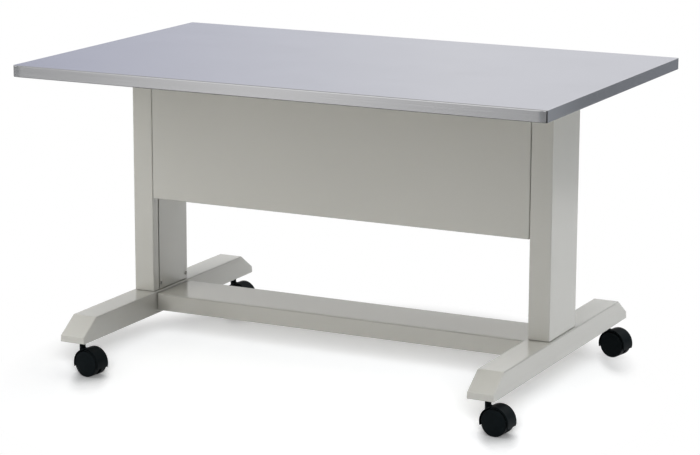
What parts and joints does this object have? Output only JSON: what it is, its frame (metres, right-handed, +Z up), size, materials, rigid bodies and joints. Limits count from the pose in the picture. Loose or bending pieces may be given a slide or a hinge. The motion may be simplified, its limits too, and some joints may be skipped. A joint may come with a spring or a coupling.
{
  "type": "instrument table",
  "caption": "Wheeled instrument table: flat stainless top on sheet-steel column legs with a modesty panel, a low stretcher and swivelling hooded casters.",
  "frame": {"origin": "on the floor under the middle of the top", "axes": "+X along the top, to the right for someone facing the modesty panel; +Y from the panel's face towards the sitting side; +Z up"},
  "size_m": [1.2, 0.75, 0.662],
  "materials": {
    "stainless": "brushed stainless sheet",
    "board": "bare particle board",
    "painted_steel": "warm light grey powder coat, satin",
    "zinc_steel": "zinc plated steel",
    "black_nylon": "black moulded nylon"
  },
  "bodies": {
    "frame": {"top_skin": "stainless", "top_core": "board", "top_bracket_left": "painted_steel", "top_bracket_right": "painted_steel", "bracket_screw_left_front": "zinc_steel", "bracket_screw_left_rear": "zinc_steel", "bracket_screw_right_front": "zinc_steel", "bracket_screw_right_rear": "zinc_steel", "column_left": "painted_steel", "column_right": "painted_steel", "column_cover_left": "painted_steel", "column_cover_right": "painted_steel", "cover_screw_left_low_front": "zinc_steel", "cover_screw_left_low_rear": "zinc_steel", "cover_screw_left_high_front": "zinc_steel", "cover_screw_left_high_rear": "zinc_steel", "cover_screw_right_low_front": "zinc_steel", "cover_screw_right_low_rear": "zinc_steel", "cover_screw_right_high_front": "zinc_steel", "cover_screw_right_high_rear": "zinc_steel", "column_bolt_left_front": "zinc_steel", "column_bolt_left_rear": "zinc_steel", "column_bolt_right_front": "zinc_steel", "column_bolt_right_rear": "zinc_steel", "foot_left": "painted_steel", "foot_right": "painted_steel", "stretcher": "painted_steel", "stretcher_bolt_left_front": "zinc_steel", "stretcher_bolt_left_rear": "zinc_steel", "stretcher_bolt_right_front": "zinc_steel", "stretcher_bolt_right_rear": "zinc_steel", "modesty_panel": "painted_steel", "panel_screw_left_upper": "zinc_steel", "panel_screw_left_lower": "zinc_steel", "panel_screw_right_upper": "zinc_steel", "panel_screw_right_lower": "zinc_steel", "caster_socket_front_left": "painted_steel", "caster_socket_front_right": "painted_steel", "caster_socket_rear_left": "painted_steel", "caster_socket_rear_right": "painted_steel", "caster_stem_front_left": "zinc_steel", "caster_stem_front_right": "zinc_steel", "caster_stem_rear_left": "zinc_steel", "caster_stem_rear_right": "zinc_steel"},
    "front_left_caster": {"caster_hood_front_left": "black_nylon", "caster_axle_front_left": "zinc_steel"},
    "front_right_caster": {"caster_hood_front_right": "black_nylon", "caster_axle_front_right": "zinc_steel"},
    "rear_left_caster": {"caster_hood_rear_left": "black_nylon", "caster_axle_rear_left": "zinc_steel"},
    "rear_right_caster": {"caster_hood_rear_right": "black_nylon", "caster_axle_rear_right": "zinc_steel"},
    "front_left_near_wheel": {"wheel_near_front_left": "black_nylon"},
    "front_left_far_wheel": {"wheel_far_front_left": "black_nylon"},
    "front_right_near_wheel": {"wheel_near_front_right": "black_nylon"},
    "front_right_far_wheel": {"wheel_far_front_right": "black_nylon"},
    "rear_left_near_wheel": {"wheel_near_rear_left": "black_nylon"},
    "rear_left_far_wheel": {"wheel_far_rear_left": "black_nylon"},
    "rear_right_near_wheel": {"wheel_near_rear_right": "black_nylon"},
    "rear_right_far_wheel": {"wheel_far_rear_right": "black_nylon"}
  },
  "joints": [
    {"name": "front_left_swivel", "type": "hinge", "parent": "frame", "child": "front_left_caster", "pos_m": [-0.47, -0.33, 0.07], "axis": [0, 0, 1], "continuous": true},
    {"name": "front_right_swivel", "type": "hinge", "parent": "frame", "child": "front_right_caster", "pos_m": [0.47, -0.33, 0.07], "axis": [0, 0, 1], "continuous": true},
    {"name": "rear_left_swivel", "type": "hinge", "parent": "frame", "child": "rear_left_caster", "pos_m": [-0.47, 0.33, 0.07], "axis": [0, 0, 1], "continuous": true},
    {"name": "rear_right_swivel", "type": "hinge", "parent": "frame", "child": "rear_right_caster", "pos_m": [0.47, 0.33, 0.07], "axis": [0, 0, 1], "continuous": true},
    {"name": "front_left_near_wheel_spin", "type": "hinge", "parent": "front_left_caster", "child": "front_left_near_wheel", "pos_m": [-0.44816, -0.33268, 0.0282], "axis": [0.1219, 0.9925, 0], "continuous": true},
    {"name": "front_left_far_wheel_spin", "type": "hinge", "parent": "front_left_caster", "child": "front_left_far_wheel", "pos_m": [-0.44816, -0.33268, 0.0282], "axis": [0.1219, 0.9925, 0], "continuous": true},
    {"name": "front_right_near_wheel_spin", "type": "hinge", "parent": "front_right_caster", "child": "front_right_near_wheel", "pos_m": [0.49192, -0.33192, 0.0282], "axis": [0.0872, 0.9962, 0], "continuous": true},
    {"name": "front_right_far_wheel_spin", "type": "hinge", "parent": "front_right_caster", "child": "front_right_far_wheel", "pos_m": [0.49192, -0.33192, 0.0282], "axis": [0.0872, 0.9962, 0], "continuous": true},
    {"name": "rear_left_near_wheel_spin", "type": "hinge", "parent": "rear_left_caster", "child": "rear_left_near_wheel", "pos_m": [-0.44821, 0.32694, 0.0282], "axis": [0.1392, 0.9903, 0], "continuous": true},
    {"name": "rear_left_far_wheel_spin", "type": "hinge", "parent": "rear_left_caster", "child": "rear_left_far_wheel", "pos_m": [-0.44821, 0.32694, 0.0282], "axis": [0.1392, 0.9903, 0], "continuous": true},
    {"name": "rear_right_near_wheel_spin", "type": "hinge", "parent": "rear_right_caster", "child": "rear_right_near_wheel", "pos_m": [0.4916, 0.3258, 0.0282], "axis": [0.1908, 0.9816, 0], "continuous": true},
    {"name": "rear_right_far_wheel_spin", "type": "hinge", "parent": "rear_right_caster", "child": "rear_right_far_wheel", "pos_m": [0.4916, 0.3258, 0.0282], "axis": [0.1908, 0.9816, 0], "continuous": true}
  ]
}
